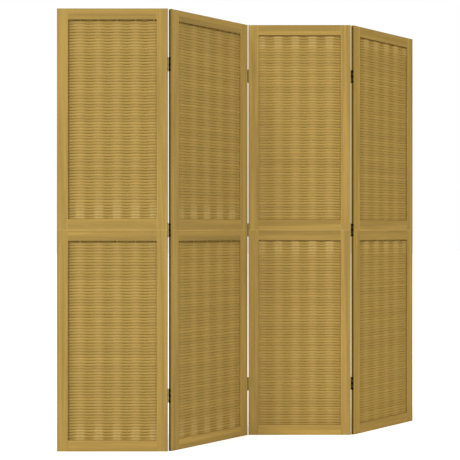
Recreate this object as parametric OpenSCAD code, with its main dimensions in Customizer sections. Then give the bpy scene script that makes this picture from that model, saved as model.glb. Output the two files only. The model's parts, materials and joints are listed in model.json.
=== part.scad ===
// Folding screen of four hinged panels with a woven infill.
// Each panel is two framed sections, one standing on the other.
// A panel is drawn from its left end at x = 0, with its front at y = 0 and its feet at z = 0.

/* [Panels] */
// Width of one panel
panel_w = 400; // [330:5:480]
// Height of one framed section
section_h = 800; // [600:10:900]
// Thickness of the frames
panel_t = 12; // [12:0.5:16]
// Width of the stiles
stile_w = 40; // [36:1:60]
// Height of the rails
rail_h = 40; // [36:1:60]
// Radius of the eased edges
edge_r = 0.8; // [0.5:0.1:1.8]
// Angle by which panels 2 and 4 are turned against panels 1 and 3 where the screen stands
panel_turn = 45; // [30:0.5:70]

/* [Frame joints] */
// Length of the tenons on the rails
tenon_l = 12; // [8:0.5:13]
// Thickness of the tenons
tenon_t = 4; // [3:0.5:5]
// Width of the shoulders above and below a tenon
tenon_shoulder = 6; // [4:0.5:10]
// Clearance of a tenon in its mortise
tenon_clear = 0.1; // [0.05:0.05:0.3]
// Diameter of the spigots that plug an upper section onto a lower one
spigot_d = 6; // [5:0.5:7]
// Length of the spigots
spigot_l = 25; // [15:1:35]
// Clearance of a spigot in its bore
spigot_clear = 0.1; // [0.05:0.05:0.3]

/* [Weave] */
// Largest height of a row of the weave
row_h = 10.5; // [8:0.1:16]
// Height of the first front row, which is cut to fit
foot_row = 6.9; // [5:0.1:10]
// Gap between the last front row and the top rail
top_gap = 6; // [3:0.5:7]
// Gap between two rows
row_gap = 0.4; // [0.2:0.1:1]
// Thickness of a strip
strip_t = 1; // [0.8:0.1:1.2]
// Clearance of a strip to a batten and to the middle of the panel
strip_clear = 0.15; // [0.1:0.05:0.3]
// Length of a strip's end in the groove of a stile
strip_seat = 6; // [3:0.5:8]
// Clearance of the strips in the groove
groove_clear = 0.2; // [0.1:0.05:0.4]
// Diameter of the battens
batten_d = 5; // [4:0.5:5.5]
// Largest distance between two battens
batten_step_max = 68; // [50:1:90]
// Distance of the first batten from the nearer stile, and of the last crossing from the other
batten_edge = 10; // [8:0.5:14]
// Depth of the battens' sockets in the rails
socket_l = 10; // [6:1:14]
// Clearance of a batten in its sockets
socket_clear = 0.1; // [0.05:0.05:0.3]

/* [Hinges] */
// Height of a hinge
hinge_h = 50; // [40:1:80]
// Distance of the outer hinges' middles from the ends of a panel
hinge_inset = 200; // [100:5:300]
// Knuckles of a hinge
knuckle_count = 5; // [3:2:7]
// Diameter of the knuckles
knuckle_d = 4; // [4:0.1:4.8]
// Gap between neighbouring knuckles
knuckle_gap = 0.2; // [0.1:0.05:0.4]
// Clearance of the knuckles to the edges of the panels
knuckle_clear = 0.2; // [0.2:0.05:0.6]
// Diameter of the hinge pins
pin_d = 2.2; // [2:0.1:2.4]
// Running clearance of a pin in the knuckles
pin_clear = 0.05; // [0.03:0.01:0.1]
// Diameter of the heads of a pin
pin_head_d = 3.6; // [3.2:0.1:3.8]
// Width of a hinge leaf
leaf_w = 8; // [7:0.5:9]
// Thickness of a hinge leaf
leaf_t = 0.6; // [0.6:0.1:0.9]
// Gap between the two leaves of a hinge when its panels are in line
leaf_gap = 0.2; // [0.1:0.05:0.6]
// Distance between the two screws of a leaf
screw_spread = 32; // [26:1:36]
// Diameter of the screws
screw_d = 2.5; // [2:0.1:3]
// Diameter of the screws' countersunk heads
screw_head_d = 4.4; // [4.2:0.1:5]
// Length of the screws in the wood
screw_l = 12; // [8:0.5:12.5]
// Clearance of a screw in its bore and its countersink
screw_clear = 0.05; // [0.05:0.05:0.2]

/* [Hidden] */
$fn = 48;

wood = [0.71, 0.59, 0.33];
cane = [0.67, 0.55, 0.30];
bronze = [0.24, 0.18, 0.11];

opening_w = panel_w - 2 * stile_w;
opening_h = section_h - 2 * rail_h;
rows = ceil((opening_h - foot_row - top_gap) / row_h);
row_step = (opening_h - foot_row - top_gap) / rows;

// Battens stand at equal steps, and between two of them the front and back strips meet.
battens = ceil((opening_w - 2 * batten_edge) / batten_step_max + 0.5);
batten_step = (opening_w - 2 * batten_edge) / (battens - 0.5);
last_crossing = batten_edge + (battens - 0.5) * batten_step;
// A strip's inner arc has its crown clear of the batten and its ends clear of the middle.
crown_in = batten_d / 2 + strip_clear;
bulge_r = (pow(batten_step / 2, 2) + pow(batten_d / 2, 2)) / batten_d;

// Depth of the strips' outer face from the middle of the panel, at a distance from a batten
function strip_depth(dx) = sqrt(pow(bulge_r + strip_t, 2) - dx * dx) - bulge_r + crown_in;

// Height at which a front row starts above the bottom rail
function row_floor(i) = i == 0 ? 0 : foot_row + (i - 1) * row_step;

crown_out = strip_depth(0);
crossing_out = strip_depth(batten_step / 2);

joint_gap = 2 * leaf_t + leaf_gap;
pin_offset = sqrt(pow(knuckle_d / 2 + knuckle_clear, 2) - pow(joint_gap / 2, 2));
knuckle_l = hinge_h / knuckle_count;
hinge_heights = [hinge_inset, section_h, 2 * section_h - hinge_inset];
pin_head_h = pin_head_d / 4;
screw_head_h = leaf_t - screw_clear;

// Joints 1 and 3 have their pins behind the panels, joint 2 has them in front.
function pin_y(joint) = joint == 2 ? -pin_offset : panel_t + pin_offset;
function turn(k) = k % 2 == 0 ? panel_turn : 0;
function turned(v, a) = [v.x * cos(a) - v.y * sin(a), v.x * sin(a) + v.y * cos(a)];
function pin_at(joint) = corner_at(joint) + turned([panel_w + joint_gap / 2, pin_y(joint)], turn(joint));
function corner_at(k) = k == 1 ? [0, 0] : pin_at(k - 1) + turned([joint_gap / 2, -pin_y(k - 1)], turn(k));

// The last panel's eased right end reaches farthest to the right and to the back.
reach_x = (corner_at(4) + turned([panel_w - edge_r, edge_r], panel_turn)).x + edge_r;
reach_y = (corner_at(4) + turned([panel_w - edge_r, panel_t - edge_r], panel_turn)).y + edge_r;

// Puts what is drawn on a panel where that panel stands, with the screen's middle at the origin.
module on_panel(k)
    translate([corner_at(k).x - reach_x / 2, corner_at(k).y - reach_y / 2, 0])
        rotate([0, 0, turn(k)])
            children();

// Puts what is drawn on a section at its level.
module on_level(level)
    translate([0, 0, level == "upper" ? section_h : 0])
        children();

// Turns what is drawn from the left end of the opening round where the weave starts at the right.
module in_opening(k)
    translate([panel_w / 2, panel_t / 2, 0])
        mirror([k == 1 || k == 4 ? 1 : 0, 0, 0])
            translate([-opening_w / 2, 0, 0])
                children();

module rounded_rectangle(w, h, r) {
    translate([r, 0])
        square([w - 2 * r, h]);
    translate([0, r])
        square([w, h - 2 * r]);
    for (x = [r, w - r], y = [r, h - r])
        translate([x, y])
            circle(r = r);
}

// Rectangle with rounded corners at its left end alone
module half_rounded_rectangle(w, h, r) {
    rounded_rectangle(w, h, r);
    translate([w / 2, 0])
        square([w / 2, h]);
}

// Stile with its outer edges and both ends eased and its inner edges sharp
module stile_blank() {
    intersection() {
        linear_extrude(section_h)
            half_rounded_rectangle(stile_w, panel_t, edge_r);
        rotate([90, 0, 90])
            linear_extrude(stile_w)
                rounded_rectangle(panel_t, section_h, edge_r);
        translate([0, panel_t, 0])
            rotate([90, 0, 0])
                linear_extrude(panel_t)
                    half_rounded_rectangle(stile_w, section_h, edge_r);
    }
}

// What is cut off a stile's inner edges along the opening
module inner_edge_cuts() {
    for (y = [0, panel_t])
        translate([stile_w, y, rail_h])
            mirror([0, y == 0 ? 0 : 1, 0])
                linear_extrude(opening_h)
                    difference() {
                        translate([-edge_r, -1])
                            square([edge_r + 1, edge_r + 1]);
                        translate([-edge_r, edge_r])
                            circle(r = edge_r);
                    }
}

module spigot() {
    cylinder(d = spigot_d, h = spigot_l - 1);
    translate([0, 0, spigot_l - 1])
        cylinder(d1 = spigot_d, d2 = spigot_d - 2, h = 1);
}

module tenon(clear) {
    translate([-tenon_l - clear, (panel_t - tenon_t) / 2 - clear, tenon_shoulder - clear])
        cube([tenon_l + clear + 1, tenon_t + 2 * clear, rail_h - 2 * tenon_shoulder + 2 * clear]);
}

// Distance of the screws from the front of a panel at one of its joints
function screw_y(joint) = joint == 2
    ? knuckle_clear + leaf_w / 2
    : panel_t - knuckle_clear - leaf_w / 2;

// Heights of all screws on one edge of a panel
screw_heights = [for (z = hinge_heights, s = [-1, 1]) z + s * screw_spread / 2];

// Drawn as a left stile. Panels 1 and 4 have the weave's end crossing at the left, 2 and 3 at the right.
module stile(k, level, side) {
    joint = side == "left" ? k - 1 : k;
    at_batten = (side == "left") == (k == 2 || k == 3);
    groove_half = (at_batten ? strip_depth(batten_edge) : crossing_out) + groove_clear;
    color(wood) on_panel(k) on_level(level)
        translate([side == "left" ? 0 : panel_w, 0, 0])
            mirror([side == "left" ? 0 : 1, 0, 0])
                difference() {
                    union() {
                        stile_blank();
                        if (level == "lower")
                            translate([stile_w / 2, panel_t / 2, section_h - 1])
                                cylinder(d = spigot_d, h = 1);
                        if (level == "lower")
                            translate([stile_w / 2, panel_t / 2, section_h])
                                spigot();
                    }
                    if (level == "upper")
                        translate([stile_w / 2, panel_t / 2, -1])
                            cylinder(d = spigot_d + 2 * spigot_clear, h = spigot_l + 2);
                    for (z = [0, section_h - rail_h])
                        translate([stile_w, 0, z])
                            tenon(tenon_clear);
                    translate([stile_w - strip_seat - 0.5, panel_t / 2 - groove_half, rail_h])
                        cube([strip_seat + 1.5, 2 * groove_half, opening_h]);
                    inner_edge_cuts();
                    if (joint > 0 && joint < 4)
                        for (z = screw_heights)
                            translate([-1, screw_y(joint), z - (level == "upper" ? section_h : 0)])
                                rotate([0, 90, 0])
                                    cylinder(d = screw_d + 2 * screw_clear, h = screw_l + 1.5);
                }
}

module rail(k, level, place) {
    color(wood) on_panel(k) on_level(level)
        translate([0, 0, place == "top" ? section_h - rail_h : 0])
            difference() {
                union() {
                    translate([stile_w, 0, 0])
                        rotate([90, 0, 90])
                            linear_extrude(opening_w)
                                rounded_rectangle(panel_t, rail_h, edge_r);
                    translate([stile_w, 0, 0])
                        tenon(0);
                    translate([panel_w - stile_w, 0, 0])
                        mirror([1, 0, 0])
                            tenon(0);
                }
                in_opening(k)
                    for (i = [0:battens - 1])
                        translate([batten_edge + i * batten_step, 0, place == "top" ? -1 : rail_h - socket_l])
                            cylinder(d = batten_d + 2 * socket_clear, h = socket_l + 1);
            }
}

module bulge_circles(r) {
    for (i = [0:battens - 1])
        translate([batten_edge + i * batten_step, bulge_r - crown_in])
            circle(r = r, $fn = 720);
}

// Front strip seen from above: an arc in front of each batten and a flat tail after the last crossing
module strip_outline() {
    difference() {
        union() {
            intersection() {
                bulge_circles(bulge_r + strip_t);
                translate([-strip_seat, -crown_out - 1])
                    square([strip_seat + last_crossing, crown_out + 1 - strip_clear / 3]);
            }
            translate([last_crossing - 1, -crossing_out])
                square([opening_w + strip_seat - last_crossing + 1, crossing_out - strip_clear]);
        }
        bulge_circles(bulge_r);
    }
}

// The front strips of both sections, cut from one long outline into rows
module front_strips(k) {
    color(cane) on_panel(k)
        for (level = ["lower", "upper"])
            on_level(level) in_opening(k)
                intersection() {
                    translate([0, 0, rail_h])
                        linear_extrude(opening_h)
                            strip_outline();
                    for (i = [0:rows])
                        translate([-strip_seat - 1, -panel_t, rail_h + row_floor(i) + row_gap / 2])
                            cube([opening_w + 2 * strip_seat + 2, panel_t, row_floor(i + 1) - row_floor(i) - row_gap]);
                }
}

// The back strips lie row on row and form one skin behind the battens of a section. They are the front
// ones upside down: their gap is at the bottom rail, so that nowhere a gap is seen through.
module back_strips(k) {
    color(cane) on_panel(k)
        for (level = ["lower", "upper"])
            on_level(level) in_opening(k)
                translate([0, 0, rail_h + top_gap + row_gap / 2])
                    mirror([0, 1, 0])
                        linear_extrude(opening_h - top_gap - row_gap)
                            strip_outline();
}

module batten_rods(k) {
    color(wood) on_panel(k)
        for (level = ["lower", "upper"])
            on_level(level) in_opening(k)
                for (i = [0:battens - 1])
                    translate([batten_edge + i * batten_step, 0, rail_h - socket_l + socket_clear])
                        cylinder(d = batten_d, h = opening_h + 2 * (socket_l - socket_clear));
}

// Left leaf of a hinge, with the hinge pin at the origin and the panels in front of it.
// The knuckles are every second one from the given first.
module leaf(first) {
    difference() {
        union() {
            translate([-joint_gap / 2, -pin_offset - knuckle_clear - leaf_w, 0])
                cube([leaf_t, leaf_w, hinge_h]);
            for (i = [first:2:knuckle_count - 1])
                translate([0, 0, i * knuckle_l + knuckle_gap / 2]) {
                    cylinder(d = knuckle_d, h = knuckle_l - knuckle_gap);
                    translate([-joint_gap / 2, -pin_offset - knuckle_clear - leaf_t, 0])
                        cube([leaf_t, pin_offset + knuckle_clear + leaf_t, knuckle_l - knuckle_gap]);
                }
        }
        translate([0, 0, -1])
            cylinder(d = pin_d + 2 * pin_clear, h = hinge_h + 2);
        for (s = [-1, 1])
            translate([-joint_gap / 2, -pin_offset - knuckle_clear - leaf_w / 2, hinge_h / 2 + s * screw_spread / 2])
                rotate([0, 90, 0])
                    cylinder(
                        r1 = screw_head_d / 2 + 2 * screw_clear - leaf_t,
                        r2 = screw_head_d / 2 + 2 * screw_clear,
                        h = leaf_t
                    );
    }
}

// Puts what is drawn round a hinge pin at the three hinges of a joint, seen from its left or right panel.
module at_hinges(joint, side)
    on_panel(side == "left" ? joint : joint + 1)
        for (z = hinge_heights)
            translate([side == "left" ? panel_w + joint_gap / 2 : -joint_gap / 2, pin_y(joint), z - hinge_h / 2])
                mirror([0, joint == 2 ? 1 : 0, 0])
                    mirror([side == "left" ? 0 : 1, 0, 0])
                        children();

module left_leaves(joint) color(bronze) at_hinges(joint, "left") leaf(0);

module right_leaves(joint) color(bronze) at_hinges(joint, "right") leaf(1);

// Pin with a domed head at each end
module pins(joint) {
    color(bronze) at_hinges(joint, "left") {
        translate([0, 0, -knuckle_gap])
            cylinder(d = pin_d, h = hinge_h + 2 * knuckle_gap);
        for (end = [0, 1])
            translate([0, 0, end * hinge_h])
                mirror([0, 0, 1 - end])
                    translate([0, 0, knuckle_gap / 2])
                        cylinder(d1 = pin_head_d, d2 = pin_head_d / 2, h = pin_head_h);
    }
}

// Countersunk screw whose head is just below z = 0
module screw() {
    translate([0, 0, -leaf_t])
        cylinder(r1 = screw_head_d / 2 - screw_head_h, r2 = screw_head_d / 2, h = screw_head_h);
    translate([0, 0, 1.5 - leaf_t - screw_l])
        cylinder(d = screw_d, h = screw_l - 1);
    translate([0, 0, -leaf_t - screw_l])
        cylinder(d1 = screw_d / 4, d2 = screw_d, h = 1.5);
}

// Screws in the ends of a panel, two for each leaf
module hinge_screws(k) {
    color(bronze) on_panel(k)
        for (side = ["left", "right"]) {
            joint = side == "left" ? k - 1 : k;
            if (joint > 0 && joint < 4)
                for (z = screw_heights)
                    translate([side == "left" ? -leaf_t : panel_w + leaf_t, screw_y(joint), z])
                        rotate([0, side == "left" ? -90 : 90, 0])
                            screw();
        }
}

stile(1, "lower", "left");  // panel_1_lower_left_stile
stile(1, "lower", "right");  // panel_1_lower_right_stile
rail(1, "lower", "bottom");  // panel_1_lower_bottom_rail
rail(1, "lower", "top");  // panel_1_lower_top_rail
stile(1, "upper", "left");  // panel_1_upper_left_stile
stile(1, "upper", "right");  // panel_1_upper_right_stile
rail(1, "upper", "bottom");  // panel_1_upper_bottom_rail
rail(1, "upper", "top");  // panel_1_upper_top_rail
front_strips(1);  // panel_1_front_strips
back_strips(1);  // panel_1_back_strips
batten_rods(1);  // panel_1_battens
hinge_screws(1);  // panel_1_hinge_screws
stile(2, "lower", "left");  // panel_2_lower_left_stile
stile(2, "lower", "right");  // panel_2_lower_right_stile
rail(2, "lower", "bottom");  // panel_2_lower_bottom_rail
rail(2, "lower", "top");  // panel_2_lower_top_rail
stile(2, "upper", "left");  // panel_2_upper_left_stile
stile(2, "upper", "right");  // panel_2_upper_right_stile
rail(2, "upper", "bottom");  // panel_2_upper_bottom_rail
rail(2, "upper", "top");  // panel_2_upper_top_rail
front_strips(2);  // panel_2_front_strips
back_strips(2);  // panel_2_back_strips
batten_rods(2);  // panel_2_battens
hinge_screws(2);  // panel_2_hinge_screws
stile(3, "lower", "left");  // panel_3_lower_left_stile
stile(3, "lower", "right");  // panel_3_lower_right_stile
rail(3, "lower", "bottom");  // panel_3_lower_bottom_rail
rail(3, "lower", "top");  // panel_3_lower_top_rail
stile(3, "upper", "left");  // panel_3_upper_left_stile
stile(3, "upper", "right");  // panel_3_upper_right_stile
rail(3, "upper", "bottom");  // panel_3_upper_bottom_rail
rail(3, "upper", "top");  // panel_3_upper_top_rail
front_strips(3);  // panel_3_front_strips
back_strips(3);  // panel_3_back_strips
batten_rods(3);  // panel_3_battens
hinge_screws(3);  // panel_3_hinge_screws
stile(4, "lower", "left");  // panel_4_lower_left_stile
stile(4, "lower", "right");  // panel_4_lower_right_stile
rail(4, "lower", "bottom");  // panel_4_lower_bottom_rail
rail(4, "lower", "top");  // panel_4_lower_top_rail
stile(4, "upper", "left");  // panel_4_upper_left_stile
stile(4, "upper", "right");  // panel_4_upper_right_stile
rail(4, "upper", "bottom");  // panel_4_upper_bottom_rail
rail(4, "upper", "top");  // panel_4_upper_top_rail
front_strips(4);  // panel_4_front_strips
back_strips(4);  // panel_4_back_strips
batten_rods(4);  // panel_4_battens
hinge_screws(4);  // panel_4_hinge_screws
left_leaves(1);  // hinge_12_left_leaves
right_leaves(1);  // hinge_12_right_leaves
pins(1);  // hinge_12_pins
left_leaves(2);  // hinge_23_left_leaves
right_leaves(2);  // hinge_23_right_leaves
pins(2);  // hinge_23_pins
left_leaves(3);  // hinge_34_left_leaves
right_leaves(3);  // hinge_34_right_leaves
pins(3);  // hinge_34_pins
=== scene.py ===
import json
import math
from functools import partial

import bmesh
import bpy
from mathutils import Matrix, Vector


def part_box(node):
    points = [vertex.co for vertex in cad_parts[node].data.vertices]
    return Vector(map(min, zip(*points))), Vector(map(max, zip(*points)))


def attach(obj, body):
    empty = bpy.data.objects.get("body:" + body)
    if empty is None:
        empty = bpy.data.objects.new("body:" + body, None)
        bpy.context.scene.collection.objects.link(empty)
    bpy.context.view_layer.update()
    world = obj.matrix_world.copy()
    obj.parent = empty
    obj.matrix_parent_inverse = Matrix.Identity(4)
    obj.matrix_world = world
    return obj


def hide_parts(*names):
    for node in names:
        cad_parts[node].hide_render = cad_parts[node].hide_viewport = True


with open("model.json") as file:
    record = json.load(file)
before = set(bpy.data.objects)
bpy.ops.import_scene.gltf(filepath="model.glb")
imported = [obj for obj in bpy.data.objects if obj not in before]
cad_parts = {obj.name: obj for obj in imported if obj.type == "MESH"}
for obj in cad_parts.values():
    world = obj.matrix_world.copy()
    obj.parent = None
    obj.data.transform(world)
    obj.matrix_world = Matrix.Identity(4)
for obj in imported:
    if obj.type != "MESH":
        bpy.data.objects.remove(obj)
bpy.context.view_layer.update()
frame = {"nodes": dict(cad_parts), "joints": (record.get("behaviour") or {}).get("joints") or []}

print("frame loaded")

# Sizes of the hinged panels, in metres
screen = {
    "panelWidth": 0.400,
    "panelThickness": 0.012,
    "sectionHeight": 0.800,         # of the upper and of the lower section
    "stileWidth": 0.040,
    "railHeight": 0.040,
    "turn": math.radians(45),       # how far panels 2 and 4 are turned
}
hinges = {
    "first": 0.200, "step": 0.600,  # heights of their middles
    "height": 0.050,
    "shadowStep": 0.020,              # painted shadow lies beside every second knuckle
    "shadowRange": (0.1, 0.8),        # of a cosine wave, over which the painted shadow grows dark
}
pins = {joint["name"][-2:]: joint["pos_m"] for joint in frame["joints"]}
panelNumbers = (1, 2, 3, 4)


def panelPlace(k):
    # from panel coordinates (left end, front and foot at zero) to where panel k stands
    turn = 0.0 if k % 2 else screen["turn"]
    corners = [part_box(f"panel_{k}_lower_{side}_stile") for side in ("left", "right")]
    low = Vector(map(min, corners[0][0], corners[1][0]))
    high = Vector(map(max, corners[0][1], corners[1][1]))
    spin = Matrix.Rotation(turn, 4, "Z")
    half = Vector((screen["panelWidth"] / 2, screen["panelThickness"] / 2, 0))
    middle = (low + high) / 2
    return Matrix.Translation(Vector((middle.x, middle.y, 0)) - spin @ half) @ spin, turn


places = {k: panelPlace(k) for k in panelNumbers}


# Helpers for node trees

def feed(tree, value, socket):
    # a socket is linked, anything else is written as the socket's value
    if isinstance(value, bpy.types.NodeSocket):
        tree.links.new(value, socket)
    else:
        socket.default_value = value


def addNode(tree, kind, values=None, **settings):
    node = tree.nodes.new(kind)
    for key, value in settings.items():
        setattr(node, key, value)
    for key, value in (values or {}).items():
        feed(tree, value, node.inputs[key])
    return node


def made(tree, kind, values=None, **settings):
    # a new node's first output
    return addNode(tree, kind, values, **settings).outputs[0]


def calc(tree, operation, *terms):
    return made(tree, "ShaderNodeMath", dict(enumerate(terms)), operation=operation)


def arithmetic(tree):
    # adding, taking away, multiplying and dividing, each as a node of this tree
    return [partial(calc, tree, operation) for operation in ("ADD", "SUBTRACT", "MULTIPLY", "DIVIDE")]


def vector(tree, x=0.0, y=0.0, z=0.0):
    return made(tree, "ShaderNodeCombineXYZ", {"X": x, "Y": y, "Z": z})


def parts(tree, source):
    return addNode(tree, "ShaderNodeSeparateXYZ", {0: source}).outputs


def newTree(name, sizes):
    # a geometry tree with an input for each size and one for the material
    tree = bpy.data.node_groups.new(name, "GeometryNodeTree")
    for label, value in sizes.items():
        kind = "NodeSocketInt" if isinstance(value, int) else "NodeSocketFloat"
        tree.interface.new_socket(name=label, in_out="INPUT", socket_type=kind).default_value = value
    tree.interface.new_socket(name="Material", in_out="INPUT", socket_type="NodeSocketMaterial")
    tree.interface.new_socket(name="Geometry", in_out="OUTPUT", socket_type="NodeSocketGeometry")
    return tree, tree.nodes.new("NodeGroupInput").outputs, tree.nodes.new("NodeGroupOutput").inputs[0]


def growPiece(tree, sizes, name, material, matrix):
    # runs a geometry tree on an empty mesh and keeps its result as a plain mesh in its panel's place
    seed = bpy.data.objects.new(name + "Seed", bpy.data.meshes.new(name + "Seed"))
    bpy.context.scene.collection.objects.link(seed)
    modifier = seed.modifiers.new("grow", "NODES")
    modifier.node_group = tree
    values = {**sizes, "Material": material}
    for item in tree.interface.items_tree:
        if item.in_out == "INPUT":
            modifier[item.identifier] = values[item.name]
    graph = bpy.context.evaluated_depsgraph_get()
    mesh = bpy.data.meshes.new_from_object(
        seed.evaluated_get(graph), preserve_all_data_layers=True, depsgraph=graph)
    bpy.data.objects.remove(seed)
    mesh.name = name
    mesh.transform(matrix)
    mesh.materials.clear()
    mesh.materials.append(material)
    piece = bpy.data.objects.new(name, mesh)
    bpy.context.scene.collection.objects.link(piece)
    return piece


# Helpers for materials

white = (1.0, 1.0, 1.0)


def shaderTree(name):
    material = bpy.data.materials.new(name)
    material.use_nodes = True
    tree = material.node_tree
    return material, tree, tree.nodes["Principled BSDF"]


def tint(colour, factor=1.0):
    return tuple(c * factor for c in colour) + (1.0,)


def ramp(tree, source, places, colours):
    node = addNode(tree, "ShaderNodeValToRGB", {0: source})
    for element, place, colour in zip(node.color_ramp.elements, places, colours):
        element.position = place
        element.color = colour
    return node.outputs[0]


def mapped(tree, value, spread, results=(0.0, 1.0), **settings):
    # from one range to another, and held at its ends
    return made(tree, "ShaderNodeMapRange", {
        "Value": value, "From Min": spread[0], "From Max": spread[1],
        "To Min": results[0], "To Max": results[1]}, **settings)


def blend(tree, share, first, second, way="MIX"):
    return addNode(tree, "ShaderNodeMix", {0: share, 6: first, 7: second},
                   data_type="RGBA", blend_type=way).outputs[2]


def multiplied(tree, colour, *factors):
    for factor in factors:
        colour = blend(tree, 1.0, colour, factor, "MULTIPLY")
    return colour


def rest(tree, value):
    # what is left of 1
    return calc(tree, "SUBTRACT", 1.0, value)


def noise(tree, place, settings):
    return made(tree, "ShaderNodeTexNoise", {"Vector": place, **settings})


def stored(tree, name):
    # a value that the weave tree has stored on the strips
    return addNode(tree, "ShaderNodeAttribute", attribute_name=name).outputs["Fac"]


# the painted shadow beside every second knuckle, as a cosine wave along the height
def shadowWave(tree, height, results=(0.0, 1.0)):
    wave = calc(tree, "COSINE", calc(tree, "MULTIPLY", height, 2 * math.pi / hinges["shadowStep"]))
    return mapped(tree, wave, hinges["shadowRange"], results)


def dressWood(tree, shader, look, colour, roughness, fibre):
    feed(tree, colour, shader.inputs["Base Color"])
    feed(tree, roughness, shader.inputs["Roughness"])
    feed(tree, look["specular"], shader.inputs["Specular IOR Level"])
    relief = made(tree, "ShaderNodeBump", {
        "Height": fibre, "Strength": look["bump"], "Distance": look["bumpDepth"]})
    feed(tree, relief, shader.inputs["Normal"])


# The wood of stiles, rails and battens

frameWood = {
    "colour": (0.430, 0.281, 0.072),
    "dark": 0.84, "light": 1.15,            # range of the broad streaks
    "railContrast": 0.9,                    # of the streaks along a rail
    "fibre": 0.12,                          # depth of the fine fibres
    "streaks": 62.0, "stretch": 0.03,       # how dense they are across the grain, and the share of it along
    "broadNoise": {"Scale": 1.0, "Detail": 4.0, "Roughness": 0.55, "Distortion": 0.4},
    "fineNoise": {"Scale": 7.0, "Detail": 3.0, "Roughness": 0.6},
    "broadRange": (0.34, 0.66), "fineRange": (0.25, 0.65),      # of the noise, from dark to light
    "shift": 0.37, "shiftShares": (1.0, 1.7, 0.6),              # moves the grain on from member to member
    "shades": (1.0, 0.985, 1.015, 0.995, 1.01, 0.98, 1.005, 0.99), "shadeStep": 3,
    "footLight": 1.12,                      # painted light: the rails on the floor are made paler
    "battenShade": 0.95,
    "roughness": (0.46, 0.60), "specular": 0.08,
    "bump": 0.12, "bumpDepth": 0.0004,
    # bands along an edge: how deep, and the tint there
    # painted shade on the hinged end faces, in the corner between two panels
    "hingedEndShade": (0.0006, (0.46, 0.44, 0.30)),
    "looseEnd": (0.0070, (0.85, 0.85, 0.85)),
    "rightEndShade": (0.0150, (0.94, 0.94, 0.93)),      # painted shade towards the right end of the right stiles of panels 2 and 3
    # painted highlights along the seam between the two sections
    "underSeamHighlight": (0.0030, (1.25, 1.26, 1.38)),
    "overSeamHighlight": (0.0028, (1.23, 1.24, 1.35)),
    "stileSeamHighlight": (0.0028, (1.13, 1.14, 1.22)),
    "railFoot": (0.0190, (0.85, 0.85, 0.86)),       # the lower half of the rails of panels 1 and 2
    "railHead": (0.0210, (0.89, 0.89, 0.89)),       # the upper half of the rails of panels 3 and 4
    "lastPanelLight": (3.0, (1.0, 0.975, 0.86)),         # painted warmer light: all of panel 4 is a little yellower
    "bandFade": (0.8, 1.2),                 # shares of a band's depth over which it ends
    "hingeDark": (0.35, 0.75),              # painted shadow: how much darker a hinged end is at a hinge, and in its spots
}


def hingeShadow(tree, height, pastEnd):
    # the painted shadow: 0 on a stile's face, more on its end at a hinge
    toHinge = calc(tree, "PINGPONG", calc(tree, "SUBTRACT", height, hinges["first"]), hinges["step"] / 2)
    atHinge = calc(tree, "LESS_THAN", toHinge, hinges["height"] / 2)
    onEnd = calc(tree, "MULTIPLY", atHinge, rest(tree, pastEnd))
    return calc(tree, "MULTIPLY", onEnd, shadowWave(tree, height, frameWood["hingeDark"]))


def woodMaterial(name, along, turn, number, shade, marks=()):
    # grain runs along z on a stile and along x on a rail, in the turned panel's own directions
    material, tree, shader = shaderTree(name)
    shifts = [number * frameWood["shift"] * share for share in frameWood["shiftShares"]]
    straight = made(tree, "ShaderNodeMapping", {
        "Vector": addNode(tree, "ShaderNodeTexCoord").outputs["Object"],
        "Rotation": (0, 0, -turn), "Location": shifts})
    across = frameWood["streaks"]
    lengthways = across * frameWood["stretch"]
    scale = (across, across, lengthways) if along == "z" else (lengthways, across, across)
    stretched = made(tree, "ShaderNodeMapping", {"Vector": straight, "Scale": scale})
    broad = noise(tree, stretched, frameWood["broadNoise"])
    fine = noise(tree, stretched, frameWood["fineNoise"])
    contrast = 1.0 if along == "z" else frameWood["railContrast"]
    tones = [(1 + (frameWood[key] - 1) * contrast) * shade for key in ("dark", "light")]
    streaks = ramp(tree, broad, frameWood["broadRange"], [tint(frameWood["colour"], tone) for tone in tones])
    fibres = ramp(tree, fine, frameWood["fineRange"], [tint(white, 1 - frameWood["fibre"]), tint(white)])
    colour = multiplied(tree, streaks, fibres)
    xyz = parts(tree, straight)
    for axis, edge, inward, band in marks:
        depth, edgeTint = frameWood[band]
        inside = calc(tree, "MULTIPLY", calc(tree, "SUBTRACT", xyz[axis], edge + shifts[axis]), inward)
        past = mapped(tree, inside, [depth * share for share in frameWood["bandFade"]])
        colour = multiplied(tree, colour, blend(tree, past, tint(edgeTint), tint(white)))
        # painted shadow beside the hinges, on a hinged end
        if band == "hingedEndShade":
            height = calc(tree, "SUBTRACT", xyz[2], shifts[2])
            colour = multiplied(tree, colour, rest(tree, hingeShadow(tree, height, past)))
    roughness = mapped(tree, fine, (0.0, 1.0), frameWood["roughness"])
    dressWood(tree, shader, frameWood, colour, roughness, fine)
    return material


# The wood of the woven strips

stripWood = {
    "colour": (0.463, 0.303, 0.078),
    "dark": 0.88, "light": 1.08,            # range of the fibres
    "tone": 0.06,                           # how much whole strips differ
    # painted warmer light on the strips of panels 2 and 4
    "panelLightTints": {1: white, 2: (0.985, 0.985, 0.96), 3: white, 4: (0.965, 0.94, 0.82)},
    "crossing": (0.93, 0.93, 0.92), "crown": (0.985, 0.99, 1.07),   # painted shade between battens, and a painted highlight over one
    "hollowRange": (0.20, 0.62),            # of the way from a batten to a crossing
    "highlight": (1.19, 1.24, 1.42),           # a painted highlight over the battens near one rail of a section
    # painted light and shade over the battens: the faces that lie further out from the panel's middle take
    # another tone:
    "outRange": (0.30, 0.50),               # how far out, as a share of a strip's height
    "outTone": (0.70, 1.10),                # the tone there, rising towards the batten
    "highlightOut": 0.42,                      # and falling by this much where the pale zone's highlight is painted
    "fibres": 900.0, "stretch": 0.03,       # how dense they are across a strip, and the share of it along
    "noise": {"Scale": 1.0, "Detail": 4.0, "Roughness": 0.6},
    "fibreRange": (0.28, 0.72),             # of the noise, from dark to light
    "roughness": 0.58, "specular": 0.06,
    "bump": 0.15, "bumpDepth": 0.0003,
}


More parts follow.
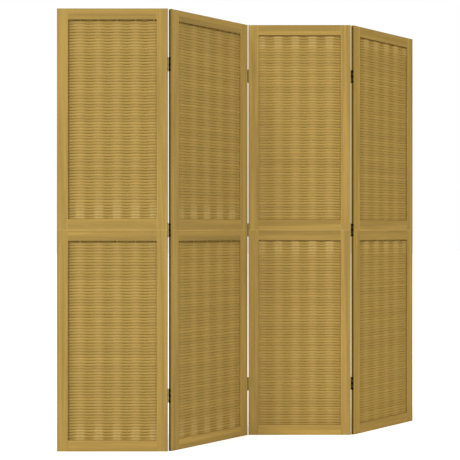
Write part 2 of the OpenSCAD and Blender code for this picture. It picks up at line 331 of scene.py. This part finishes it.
def stripMaterial(k):
    # fibres follow each strip by the coordinates that the weave tree stores before the panel is turned
    material, tree, shader = shaderTree(f"wovenStrips{k}")
    across = stripWood["fibres"]
    stretched = made(tree, "ShaderNodeMapping", {
        "Vector": addNode(tree, "ShaderNodeAttribute", attribute_name="stripCoord").outputs["Vector"],
        "Scale": (across * stripWood["stretch"], across, across)})
    fibre = noise(tree, stretched, stripWood["noise"])
    base = [c * t for c, t in zip(stripWood["colour"], stripWood["panelLightTints"][k])]
    body = ramp(tree, fibre, stripWood["fibreRange"], [
        tint(base, stripWood["dark"]), tint(base, stripWood["light"])])
    tone = mapped(tree, stored(tree, "stripTone"), (0.0, 1.0), (
        1 - stripWood["tone"], 1 + stripWood["tone"]))
    # paler over the battens, with a painted highlight where the pale zone lies, and a painted shade in the
    # hollows between them
    hollow = mapped(tree, stored(tree, "stripAway"), stripWood["hollowRange"],
                    interpolation_type="SMOOTHSTEP")
    bands = blend(tree, hollow, tint(stripWood["crown"]), tint(stripWood["crossing"]))
    highlight = calc(tree, "MULTIPLY", stored(tree, "stripRubbed"), rest(tree, hollow))
    pale = blend(tree, highlight, tint(white), tint(stripWood["highlight"]))
    outTone = mapped(tree, stored(tree, "stripCrown"), (0.0, 1.0), stripWood["outTone"])
    outTone = calc(tree, "SUBTRACT", outTone, calc(tree, "MULTIPLY", highlight, stripWood["highlightOut"]))
    outer = mapped(tree, stored(tree, "stripOut"), stripWood["outRange"], (1.0, outTone))
    # less the painted shade beside the stiles and under the rails
    unshaded = rest(tree, stored(tree, "stripStain"))
    colour = multiplied(tree, body, tone, outer, bands, pale, unshaded)
    dressWood(tree, shader, stripWood, colour, stripWood["roughness"], fibre)
    return material


# The metal of hinges and screws

bronze = {
    "patina": (0.105, 0.072, 0.042), "cloud": (0.190, 0.135, 0.078),
    "noise": {"Scale": 900.0, "Detail": 3.0, "Roughness": 0.6},
    "cloudRange": (0.40, 0.75),             # of the noise, from patina to cloud
    # painted shadow on the leaves beside every second knuckle
    "shadowSpots": (0.004, 0.003, 0.002),
    "highlight": {"12": (0.84, 0.73, 0.42), "23": (0.22, 0.165, 0.06), "34": (0.84, 0.73, 0.42)},  # painted reflection on the knuckles
    "knuckleEnd": (0.00209, 0.00231),       # distance from the pin over which the painted reflection ends
    "roughness": (0.28, 0.53), "metallic": 0.9,
}


def bronzeMaterial(name, joint=None):
    material, tree, shader = shaderTree(name)
    place = addNode(tree, "ShaderNodeTexCoord").outputs["Object"]
    cloud = noise(tree, place, bronze["noise"])
    colour = ramp(tree, cloud, bronze["cloudRange"], [tint(bronze["patina"]), tint(bronze["cloud"])])
    if joint:
        # a painted shadow on the leaves beside every second knuckle, and a painted reflection on the knuckles
        xyz = parts(tree, place)
        colour = blend(tree, shadowWave(tree, xyz[2]), colour, tint(bronze["shadowSpots"]))
        offsets = [calc(tree, "SUBTRACT", xyz[i], pins[joint][i]) for i in (0, 1)]
        squares = [calc(tree, "MULTIPLY", offset, offset) for offset in offsets]
        reach = calc(tree, "SQRT", calc(tree, "ADD", *squares))
        bright = mapped(tree, reach, bronze["knuckleEnd"], (1.0, 0.0))
        colour = blend(tree, bright, colour, tint(bronze["highlight"][joint]))
    feed(tree, colour, shader.inputs["Base Color"])
    feed(tree, mapped(tree, cloud, (0.0, 1.0), bronze["roughness"]), shader.inputs["Roughness"])
    feed(tree, bronze["metallic"], shader.inputs["Metallic"])
    return material


strips = {k: stripMaterial(k) for k in panelNumbers}
screwMetal = bronzeMaterial("screwBronze")
print("materials made")


# Frames and hinges keep the shapes of their CAD nodes and are only painted

def paintNode(node, material):
    obj = frame["nodes"][node]
    obj.data.materials.clear()
    obj.data.materials.append(material)


def memberMarks(k, level, member):
    # the bands of a stile or rail: axis across the band, its edge, the way inwards, its name
    place, turn = places[k]
    leftEnd = (Matrix.Rotation(-turn, 4, "Z") @ place.translation).x
    rightEnd = leftEnd + screen["panelWidth"]
    seam = screen["sectionHeight"]
    foot = seam * (level == "upper")
    if member == "top_rail":
        foot += seam - screen["railHeight"]
    marks = []
    # painted shade on the hinged ends
    if member == "left_stile":
        marks.append((0, leftEnd, 1, "hingedEndShade" if k > 1 else "looseEnd"))
    if member == "right_stile":
        marks.append((0, rightEnd, -1, "hingedEndShade" if k < 4 else "looseEnd"))
        if k in (2, 3):
            marks.append((0, rightEnd, -1, "rightEndShade"))
    if "rail" in member and k < 3:
        marks.append((2, foot, 1, "railFoot"))
    elif "rail" in member:
        marks.append((2, foot + screen["railHeight"], -1, "railHead"))
    # painted warmer light on panel 4
    if k == 4:
        marks.append((2, 0.0, 1, "lastPanelLight"))
    # painted highlights beside the seam
    if "stile" in member:
        marks.append((2, seam, 1 if level == "upper" else -1, "stileSeamHighlight"))
    elif (level, member) == ("lower", "top_rail"):
        marks.append((2, seam, -1, "underSeamHighlight"))
    elif (level, member) == ("upper", "bottom_rail"):
        marks.append((2, seam, 1, "overSeamHighlight"))
    return marks


members = [(level, member) for level in ("lower", "upper")
           for member in ("left_stile", "right_stile", "bottom_rail", "top_rail")]
for k in panelNumbers:
    turn = places[k][1]
    for i, (level, member) in enumerate(members):
        node = f"panel_{k}_{level}_{member}"
        number = (k - 1) * len(members) + i
        shade = frameWood["shades"][number * frameWood["shadeStep"] % len(frameWood["shades"])]
        # painted light on the rails on the floor
        if (level, member) == ("lower", "bottom_rail"):
            shade *= frameWood["footLight"]
        along = "z" if "stile" in member else "x"
        paintNode(node, woodMaterial(node, along, turn, number, shade, memberMarks(k, level, member)))
    paintNode(f"panel_{k}_battens", woodMaterial(f"battens{k}", "z", turn, k, frameWood["battenShade"]))
for joint in pins:
    metal = bronzeMaterial(f"bronze{joint}", joint)
    for part in ("left_leaves", "right_leaves", "pins"):
        paintNode(f"hinge_{joint}_{part}", metal)
print("frames and hinges painted")


# Weave: each size is an input of the strips' tree

weave = {
    "Side": -1.0,                   # the front; 1 is the back
    "Middle": screen["panelThickness"] / 2,
    "Left": screen["stileWidth"],
    "Opening Width": screen["panelWidth"] - 2 * screen["stileWidth"],
    "Opening Height": screen["sectionHeight"] - 2 * screen["railHeight"],
    "Rail Height": screen["railHeight"],
    "Section Height": screen["sectionHeight"],
    "Start Right": 0.0,             # 1 where the first batten stands at the right
    "Edge": 0.010,                  # from the stile to the first batten, or to the last crossing
    "Seat": 0.0056,                 # how far a strip's ends go into the stiles
    "Batten Step": 0.3 / 4.5,       # four and a half steps between the two edges
    "Rows": 68,                     # full rows; the one under them is cut to fit
    "Row Step": 0.7071 / 68,
    "Row Start": 0.0,               # of the cut row, from the bottom rail
    "Foot Row": 0.0069,
    "Strip Height": 0.01025,        # at a batten
    "Face Height": 0.0096,          # of the strip's outer face, whose edges are eased
    "Strip Thickness": 0.0010,
    "Crossing Height": 0.882,       # share of its height that a strip has between two battens
    "Crossing Face": 0.79,          # the same for its outer face
    "Crown Depth": 0.00315,         # middle of a strip from the middle of the panel, at a batten
    "Crossing Depth": 0.00070,      # the same between two battens
    "Crown Lift": 0.0009,           # strips ride up a little over the battens
    "Pale Zone": 0.065,           # over a lower rail; in it the strips ride up and swell more, and a highlight is painted on them
    "Pale At Top": 0.0,           # 1 where it lies under an upper rail instead
    "Pale Zone Lift": 0.0020,
    "Pale Zone Swell": 0.0010,
    "Rail Reach": 0.0012,           # a strip's edge that is this close to a rail rests on it
    "Rail Gap": -0.0001,            # sunk by this little
    "Rail Shade": 0.32, "Rail Shade Reach": 0.014,          # painted shadow in the corner under a rail
    "Start Shade": 0.17, "Start Shade Reach": 0.0267,       # painted shade beside a stile, at the strips' first end
    "End Shade": 0.0, "End Shade Reach": 0.0167,            # and at their last end
    "Shift Along": 0.0001, "Shift Out": 0.00008, "Shift Up": 0.0001,    # of strips off their place
    "Lean": 0.012, "Skew": 0.0004,  # how far they are turned, in radians
    "Fibre Shift": 9.0,             # how far the fibres move on from strip to strip
    "Seed": 1, "Lean Seed": 7, "Tone Seed": 13,             # the last two are added to the first
}

# what each panel has of its own; sharper strips let their rows show less
panelWeave = {
    1: {"Start Right": 1.0, "End Shade": 0.26},
    2: {"Start Shade": 0.11, "Face Height": 0.0101, "Crossing Height": 0.905, "Crossing Face": 0.835},
    3: {"Start Shade": 0.12, "Face Height": 0.0100, "Pale At Top": 1.0},
    4: {"Start Shade": 0.30, "Face Height": 0.0102, "Crossing Height": 0.905, "Crossing Face": 0.845,
        "Pale At Top": 1.0, "Start Right": 1.0},
}
# the back's rows cover the gaps between the front's
backWeave = {"Side": 1.0, "Row Start": 0.0048, "Foot Row": 0.0061, "Row Step": 0.7091 / 68}


def weaveTree():
    tree, given, result = newTree("Woven strips", weave)
    part = partial(made, tree)
    maths = partial(calc, tree)
    xyz = partial(vector, tree)
    add, less, times, share = arithmetic(tree)

    def clamped(value):
        return part("ShaderNodeClamp", {"Value": value})

    def anyUpTo(limits, seed):
        lowest = part("ShaderNodeVectorMath", {0: limits, 1: (-1, -1, -1)}, operation="MULTIPLY")
        return part("FunctionNodeRandomValue", {"Min": lowest, "Max": limits, "Seed": seed},
                    data_type="FLOAT_VECTOR")

    def store(geometry, name, value, domain="POINT", kind="FLOAT"):
        return part("GeometryNodeStoreNamedAttribute", {"Geometry": geometry, "Name": name, "Value": value},
                    data_type=kind, domain=domain)

    def read(name):
        return part("GeometryNodeInputNamedAttribute", {"Name": name}, data_type="FLOAT")

    # one straight strip along x, its wider face towards the battens,
    # with a ring of points at every batten, at every crossing and halfway between them
    quarter = share(given["Batten Step"], 4.0)
    overhang = less(quarter, given["Edge"])
    span = add(given["Opening Width"], times(overhang, 2.0))
    line = part("GeometryNodeCurvePrimitiveLine", {
        "Start": xyz(times(overhang, -1.0)), "End": xyz(add(given["Opening Width"], overhang))})
    spaced = part("GeometryNodeResampleCurve", {
        "Curve": line, "Count": add(maths("ROUND", share(span, quarter)), 1.0)})
    section = part("GeometryNodeCurvePrimitiveQuadrilateral", {
        "Bottom Width": given["Strip Height"], "Top Width": given["Face Height"],
        "Height": given["Strip Thickness"], "Offset": 0.0}, mode="TRAPEZOID")
    bar = part("GeometryNodeCurveToMesh", {"Curve": spaced, "Profile Curve": section, "Fill Caps": True})

    # the arcs over the battens: 1 on a batten, 0 at a crossing and along the tail
    position = part("GeometryNodeInputPosition")
    x, y, z = parts(tree, position)
    measured = add(x, times(given["Start Right"], less(given["Opening Width"], times(x, 2.0))))
    turns = share(less(measured, given["Edge"]), given["Batten Step"])
    off = less(turns, maths("ROUND", turns))
    arc = less(1.0, times(times(off, off), 4.0))
    tail = less(given["Opening Width"], given["Edge"])
    crown = times(arc, maths("LESS_THAN", measured, tail))
    rise = times(less(given["Crown Depth"], given["Crossing Depth"]), crown)
    outward = add(add(rise, given["Crossing Depth"]), z)
    onFace = maths("GREATER_THAN", z, 0.0)
    narrower = less(given["Crossing Face"], given["Crossing Height"])
    narrow = add(given["Crossing Height"], times(onFace, narrower))
    tall = add(narrow, times(crown, less(1.0, narrow)))
    inSeats = maths("MINIMUM", maths("MAXIMUM", x, times(given["Seat"], -1.0)),
                    add(given["Opening Width"], given["Seat"]))
    bent = part("GeometryNodeSetPosition", {"Geometry": bar, "Position": xyz(
        inSeats, times(outward, given["Side"]), times(times(y, times(given["Side"], -1.0)), tall))})

    # stored for the strips' material, by the places that the points have after bending
    strip = store(bent, "stripOut", share(times(y, given["Side"]), given["Strip Height"]))
    strip = store(strip, "stripCrown", crown)
    away = maths("MAXIMUM", times(maths("ABSOLUTE", off), 2.0), maths("GREATER_THAN", measured, tail))
    strip = store(strip, "stripAway", away)
    # painted shade beside the stiles, at the strips' two ends
    toStart = share(measured, given["Start Shade Reach"])
    toEnd = share(less(given["Opening Width"], measured), given["End Shade Reach"])
    paintedShade = add(times(given["Start Shade"], clamped(less(1.0, toStart))),
                times(given["End Shade"], clamped(less(1.0, toEnd))))
    strip = store(strip, "stripStain", paintedShade)

    # rows of both sections, one above the other
    index = part("GeometryNodeInputIndex")
    inSection = add(given["Rows"], 1.0)
    level = maths("FLOOR", share(add(index, 0.5), inSection))
    row = less(index, times(level, inSection))
    isFoot = maths("LESS_THAN", row, 0.5)
    full = add(given["Foot Row"], times(less(row, 0.5), given["Row Step"]))
    middle = add(full, times(isFoot, less(share(given["Foot Row"], 2.0), full)))
    sectionFoot = times(level, given["Section Height"])
    height = add(add(sectionFoot, given["Rail Height"]), add(given["Row Start"], middle))
    shaky = anyUpTo(xyz(given["Shift Along"], given["Shift Out"], given["Shift Up"]), given["Seed"])
    spot = part("ShaderNodeVectorMath", {
        0: xyz(given["Left"], given["Middle"], height), 1: shaky}, operation="ADD")
    points = part("GeometryNodePoints", {"Count": times(inSection, 2.0), "Position": spot})
    lean = anyUpTo(xyz(given["Lean"], given["Skew"]), add(given["Seed"], given["Lean Seed"]))
    footShare = share(given["Foot Row"], given["Row Step"])
    size = xyz(1.0, 1.0, add(1.0, times(isFoot, less(footShare, 1.0))))
    rows = part("GeometryNodeInstanceOnPoints", {
        "Points": points, "Instance": strip, "Rotation": lean, "Scale": size})
    tone = addNode(tree, "FunctionNodeRandomValue", {
        "Seed": add(given["Seed"], given["Tone Seed"])}, data_type="FLOAT").outputs[1]
    toned = store(rows, "stripTone", tone, domain="INSTANCE")
    real = part("GeometryNodeRealizeInstances", {"Geometry": toned})

    # over the battens the rows ride up, most of all in the pale zone, but never into a rail
    sectionsBelow = maths("FLOOR", share(z, given["Section Height"]))
    above = less(less(z, times(sectionsBelow, given["Section Height"])), given["Rail Height"])
    below = less(given["Opening Height"], above)
    free = times(clamped(share(above, given["Row Step"])), clamped(share(below, given["Row Step"])))
    toRail = add(above, times(given["Pale At Top"], less(below, above)))
    inZone = clamped(less(1.0, share(toRail, given["Pale Zone"])))
    overBatten = read("stripCrown")
    lift = times(times(overBatten, free), add(given["Crown Lift"], times(inZone, given["Pale Zone Lift"])))
    seated = add(times(maths("LESS_THAN", above, given["Rail Reach"]), less(given["Rail Gap"], above)),
                 times(maths("LESS_THAN", below, given["Rail Reach"]), less(below, given["Rail Gap"])))
    swell = times(times(overBatten, given["Side"]), times(inZone, given["Pale Zone Swell"]))
    lifted = part("GeometryNodeSetPosition", {"Geometry": real, "Offset": xyz(0.0, swell, add(lift, seated))})

    # fibres are moved along from strip to strip, and a painted shadow lies under the rails, less where the
    # pale zone's highlight is painted
    moved = part("ShaderNodeVectorMath", {
        0: position, 1: xyz(times(read("stripTone"), given["Fibre Shift"]))}, operation="ADD")
    kept = store(lifted, "stripCoord", moved, kind="FLOAT_VECTOR")
    highlight = clamped(times(inZone, 2.0))
    kept = store(kept, "stripRubbed", highlight)
    railShadow = times(given["Rail Shade"], less(1.0, times(overBatten, highlight)))
    underRail = times(railShadow, clamped(less(1.0, share(below, given["Rail Shade Reach"]))))
    kept = store(kept, "stripStain", maths("MAXIMUM", read("stripStain"), underRail))
    smooth = part("GeometryNodeSetShadeSmooth", {"Geometry": kept})
    done = part("GeometryNodeSetMaterial", {"Geometry": smooth, "Material": given["Material"]})
    tree.links.new(done, result)
    return tree


def weaveSide(k, face):
    sizes = {**weave, **panelWeave[k], "Seed": 10 * k}
    if face == "back":
        sizes.update(backWeave)
        sizes["Seed"] += 5
    piece = growPiece(stripTree, sizes, f"{face}Strips{k}", strips[k], places[k][0])
    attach(piece, f"panel_{k}")
    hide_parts(f"panel_{k}_{face}_strips")
    return piece


stripTree = weaveTree()
for k in panelNumbers:
    for face in ("front", "back"):
        piece = weaveSide(k, face)
print("weave made", len(piece.data.polygons), "faces a side")


# Hinge screws: each size is an input of their tree

hingeScrews = {
    "Head Radius": 0.00220, "Neck Radius": 0.00160, "Head Height": 0.00055, "Head Sides": 24,
    "Shank Radius": 0.00125, "Length": 0.0120, "Shank Sides": 12,
    "Tip Length": 0.0015, "Tip Radius": 0.0003125,
    "Slot Length": 0.00286, "Slot Width": 0.00055, "Slot Depth": 0.00035,
    "Leaf Thickness": 0.0006, "Sunk": 0.00005,      # of a head below its leaf's face
    "First Height": hinges["first"], "Hinge Step": hinges["step"],
    "Spread": 0.032,                # between the two screws of a leaf
    "Screws An End": 6,
    "Edge Distance": 0.0042,        # from the panel's face on the hinges' side
    "Panel Width": screen["panelWidth"], "Panel Thickness": screen["panelThickness"],
    # 1 for yes: which ends have hinges, and where the pins stand in front
    "Has Left": 1.0, "Has Right": 1.0,
    "Pins In Front Left": 0.0, "Pins In Front Right": 0.0,
    "Seed": 1,
}


def screwTree():
    tree, given, result = newTree("Hinge screws", hingeScrews)
    part = partial(made, tree)
    maths = partial(calc, tree)
    xyz = partial(vector, tree)
    add, less, times = arithmetic(tree)[:3]

    def lowered(geometry, depth):
        return part("GeometryNodeTransform", {
            "Geometry": geometry, "Translation": xyz(z=times(depth, -1.0))})

    def cone(sides, top, bottom, depth):
        return part("GeometryNodeMeshCone", {
            "Vertices": given[sides], "Radius Top": given[top],
            "Radius Bottom": given[bottom], "Depth": depth})

    # one screw along z, the top of its head at zero, with a cross slot
    head = cone("Head Sides", "Head Radius", "Neck Radius", given["Head Height"])
    head = lowered(head, given["Head Height"])
    slots = addNode(tree, "GeometryNodeJoinGeometry")
    for angle in (0.0, math.pi / 2):
        bar = part("GeometryNodeMeshCube", {"Size": xyz(
            given["Slot Length"], given["Slot Width"], times(given["Slot Depth"], 2.0))})
        turned = part("GeometryNodeTransform", {"Geometry": bar, "Rotation": (0, 0, angle)})
        feed(tree, turned, slots.inputs[0])
    cut = part("GeometryNodeMeshBoolean", {"Mesh 1": head, "Mesh 2": slots.outputs[0]},
               operation="DIFFERENCE", solver="EXACT")
    tipStart = less(given["Length"], given["Tip Length"])
    shankLength = less(tipStart, given["Head Height"])
    shank = lowered(cone("Shank Sides", "Shank Radius", "Shank Radius", shankLength), tipStart)
    tip = lowered(cone("Shank Sides", "Shank Radius", "Tip Radius", given["Tip Length"]), given["Length"])
    screw = addNode(tree, "GeometryNodeJoinGeometry")
    for piece in (tip, shank, cut):
        feed(tree, piece, screw.inputs[0])

    # two in every leaf
    index = part("GeometryNodeInputIndex")
    onRight = maths("GREATER_THAN", index, less(given["Screws An End"], 0.5))
    onLeft = less(1.0, onRight)
    inEnd = less(index, times(onRight, given["Screws An End"]))
    hinge = maths("FLOOR", add(times(inEnd, 0.5), 0.25))
    upper = less(inEnd, times(hinge, 2.0))
    height = add(add(given["First Height"], times(hinge, given["Hinge Step"])),
                 times(less(upper, 0.5), given["Spread"]))
    inFront = add(times(onRight, given["Pins In Front Right"]), times(onLeft, given["Pins In Front Left"]))
    depth = add(times(inFront, given["Edge Distance"]),
                times(less(1.0, inFront), less(given["Panel Thickness"], given["Edge Distance"])))
    proud = less(given["Leaf Thickness"], given["Sunk"])
    out = add(times(onRight, add(given["Panel Width"], proud)), times(onLeft, times(proud, -1.0)))
    points = part("GeometryNodePoints", {
        "Count": times(given["Screws An End"], 2.0), "Position": xyz(out, depth, height)})
    kept = add(times(onRight, given["Has Right"]), times(onLeft, given["Has Left"]))
    placed = part("GeometryNodeInstanceOnPoints", {
        "Points": points, "Instance": screw.outputs[0], "Selection": maths("GREATER_THAN", kept, 0.5),
        "Rotation": xyz(y=times(less(onRight, 0.5), math.pi))})
    spin = part("FunctionNodeRandomValue", {"Max": (0, 0, math.pi), "Seed": given["Seed"]},
                data_type="FLOAT_VECTOR")
    spun = part("GeometryNodeRotateInstances", {"Instances": placed, "Rotation": spin, "Local Space": True})
    real = part("GeometryNodeRealizeInstances", {"Geometry": spun})
    done = part("GeometryNodeSetMaterial", {"Geometry": real, "Material": given["Material"]})
    tree.links.new(done, result)
    return tree


screwsTree = screwTree()
for k in panelNumbers:
    sizes = {**hingeScrews, "Has Left": float(k > 1), "Has Right": float(k < 4),
             "Pins In Front Left": float(k == 3), "Pins In Front Right": float(k == 2), "Seed": 40 + k}
    piece = growPiece(screwsTree, sizes, f"hingeScrews{k}", screwMetal, places[k][0])
    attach(piece, f"panel_{k}")
    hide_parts(f"panel_{k}_hinge_screws")
print("hinge screws made", len(piece.data.polygons), "faces in the last panel")


# Floor, light and camera

studio = {
    "floorSize": 30.0, "floor": 0.90, "floorRoughness": 0.9, "floorSpecular": 0.1,
    "floorLift": 0.60,              # lifts the floor to white where it is seen
    "world": 0.705,
    "key": {"place": (-11.7, -7.9, 16.4), "aim": (0, 0, 0.8), "size": 2.6, "watts": 1640.0},
    "front": {"place": (-9.2, -11.8, 8.0), "aim": (0, 0, 0.8), "size": 4.0, "watts": 350.0},
    "fill": {"place": (5.6, -5.6, 0.6), "aim": (0, 0, 0.6), "size": 3.0, "watts": 64.0},
}


def seenHere(tree):
    # 1 where the camera looks, also by a reflection or through a clear thing
    path = addNode(tree, "ShaderNodeLightPath").outputs
    indirect = calc(tree, "MAXIMUM", path["Is Glossy Ray"], path["Is Transmission Ray"])
    return calc(tree, "MAXIMUM", path["Is Camera Ray"], indirect)


def makeFloor():
    mesh = bpy.data.meshes.new("floor")
    bm = bmesh.new()
    bmesh.ops.create_grid(bm, x_segments=2, y_segments=2, size=studio["floorSize"])
    bm.to_mesh(mesh)
    bm.free()
    floor = bpy.data.objects.new("floor", mesh)
    bpy.context.scene.collection.objects.link(floor)
    material, tree, shader = shaderTree("paleFloor")
    feed(tree, tint(white, studio["floor"]), shader.inputs["Base Color"])
    feed(tree, studio["floorRoughness"], shader.inputs["Roughness"])
    feed(tree, studio["floorSpecular"], shader.inputs["Specular IOR Level"])
    # the floor keeps the shadow
    lift = made(tree, "ShaderNodeEmission", {
        "Strength": calc(tree, "MULTIPLY", seenHere(tree), studio["floorLift"])})
    both = made(tree, "ShaderNodeAddShader", {0: shader.outputs[0], 1: lift})
    feed(tree, both, tree.nodes["Material Output"].inputs["Surface"])
    mesh.materials.append(material)


def makeWorld():
    world = bpy.data.worlds.new("studio")
    bpy.context.scene.world = world
    world.use_nodes = True
    tree = world.node_tree
    background = tree.nodes["Background"]
    extra = calc(tree, "MULTIPLY", seenHere(tree), 1.0 - studio["world"])
    feed(tree, tint(white), background.inputs["Color"])
    feed(tree, calc(tree, "ADD", extra, studio["world"]), background.inputs["Strength"])


def makeLamp(name):
    lamp = studio[name]
    light = bpy.data.lights.new(name, "AREA")
    light.shape = "SQUARE"
    light.size = lamp["size"]
    light.energy = lamp["watts"]
    obj = bpy.data.objects.new(name, light)
    obj.location = lamp["place"]
    aim = Vector(lamp["aim"]) - Vector(lamp["place"])
    obj.rotation_euler = aim.to_track_quat("-Z", "Y").to_euler()
    bpy.context.scene.collection.objects.link(obj)


makeFloor()
makeWorld()
for name in ("key", "front", "fill"):
    makeLamp(name)
print("floor and light made")

viewpoint = {
    "focalPixels": 985.0, "imagePixels": 460.0, "sensor": 36.0,
    "distance": 3.5553,             # from panel 1's front
    "fromLeft": 0.6248,             # from panel 1's left end
    "height": 0.800,
    "clipEnd": 100.0,
}
corner = places[1][0].translation
camera = bpy.data.cameras.new("camera")
camera.sensor_width = viewpoint["sensor"]
camera.lens = viewpoint["focalPixels"] / viewpoint["imagePixels"] * viewpoint["sensor"]
camera.clip_end = viewpoint["clipEnd"]
cameraObject = bpy.data.objects.new("camera", camera)
cameraObject.location = (
    corner.x + viewpoint["fromLeft"], corner.y - viewpoint["distance"], viewpoint["height"])
cameraObject.rotation_euler = (math.pi / 2, 0, 0)      # level, towards the back
bpy.context.scene.collection.objects.link(cameraObject)
bpy.context.scene.camera = cameraObject
bpy.context.scene.view_settings.view_transform = "Standard"
print("camera placed")
